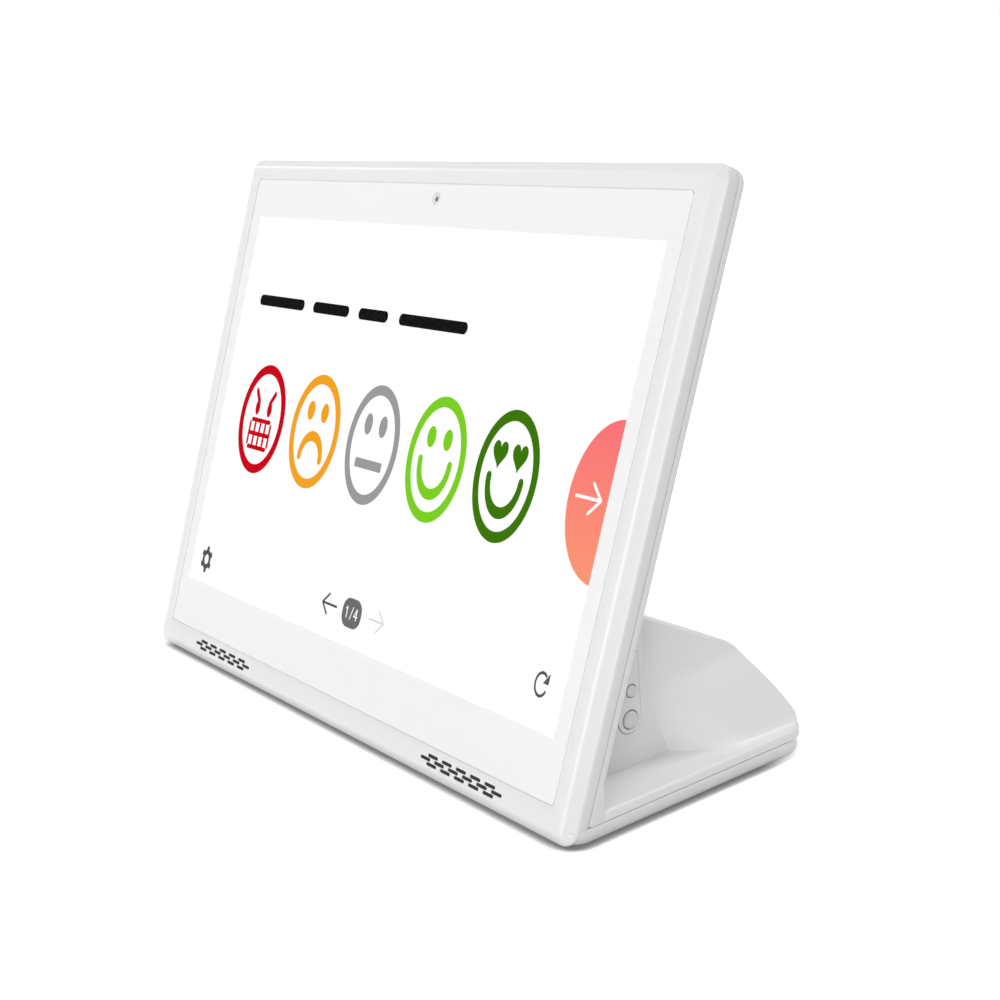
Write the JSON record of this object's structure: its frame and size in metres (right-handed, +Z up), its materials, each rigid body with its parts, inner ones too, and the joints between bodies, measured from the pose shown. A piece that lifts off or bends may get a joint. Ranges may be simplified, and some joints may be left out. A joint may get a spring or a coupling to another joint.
{
  "type": "customer feedback terminal",
  "caption": "Desktop touch terminal: a tilted glass-fronted panel moulded in one L with a wedge base, with slotted speakers, a front camera and spring push buttons in a side pocket.",
  "frame": {"origin": "centre of the footprint on the table, at the underside of the feet", "axes": "+X to the right as seen by someone facing the screen, +Y to the back, +Z up"},
  "size_m": [0.248, 0.0936, 0.1708],
  "materials": {
    "shell_white": "fine moulded texture",
    "cover_glass": "clear with a white printed border",
    "black_tape": "adhesive film",
    "display": "lit picture",
    "tray_metal": "pressed tray",
    "steel": "zinc plated",
    "black_plastic": "moulded",
    "lens_glass": "coated lens",
    "flex_amber": "polyimide film",
    "cone_grey": "thin film",
    "foam_black": "soft foam",
    "mesh_black": "fine woven mesh",
    "board_green": "solder mask",
    "chip_black": "moulded package",
    "pad_grey": "soft thermal pad",
    "sink_alloy": "extruded",
    "socket_ivory": "moulded",
    "nickel": "nickel plated",
    "button_grey": "moulded",
    "plate_grey": "moulded trim",
    "cable_black": "insulated",
    "foot_rubber": "moulded"
  },
  "bodies": {
    "case": {"front_shell": "shell_white", "rear_cover": "shell_white", "touch_glass": "cover_glass", "glass_tape": "black_tape", "lcd_panel": "display", "lcd_backlight": "tray_metal", "lcd_brackets": "steel", "lcd_bracket_screws": "steel", "camera_module": "black_plastic", "camera_lens": "lens_glass", "camera_flex": "flex_amber", "speaker_box_left": "black_plastic", "speaker_box_right": "black_plastic", "speaker_cones": "cone_grey", "speaker_gaskets": "foam_black", "speaker_meshes": "mesh_black", "main_board": "board_green", "board_chips": "chip_black", "thermal_pad": "pad_grey", "heat_sink": "sink_alloy", "board_sockets": "socket_ivory", "board_screws": "steel", "dc_jack": "black_plastic", "dc_pin": "nickel", "usb_port": "nickel", "usb_tongue": "socket_ivory", "button_board": "board_green", "button_board_screws": "steel", "power_switch": "chip_black", "function_switch": "chip_black", "button_plate": "plate_grey", "button_cable": "cable_black", "wifi_antenna": "black_tape", "antenna_cable": "cable_black", "lcd_flex": "flex_amber", "touch_flex": "flex_amber", "speaker_leads": "cable_black", "rubber_feet": "foot_rubber", "case_screws": "steel"},
    "power_key": {"power_button": "button_grey", "power_plunger": "socket_ivory"},
    "function_key": {"function_button": "button_grey", "function_plunger": "socket_ivory"}
  },
  "joints": [
    {"name": "power_press", "type": "slide", "parent": "case", "child": "power_key", "axis": [-1, 0, 0], "range_m": [0, 0.0005], "stiffness_N_per_m": 600, "springref_m": -0.0005},
    {"name": "function_press", "type": "slide", "parent": "case", "child": "function_key", "axis": [-1, 0, 0], "range_m": [0, 0.0005], "stiffness_N_per_m": 600, "springref_m": -0.0005}
  ]
}
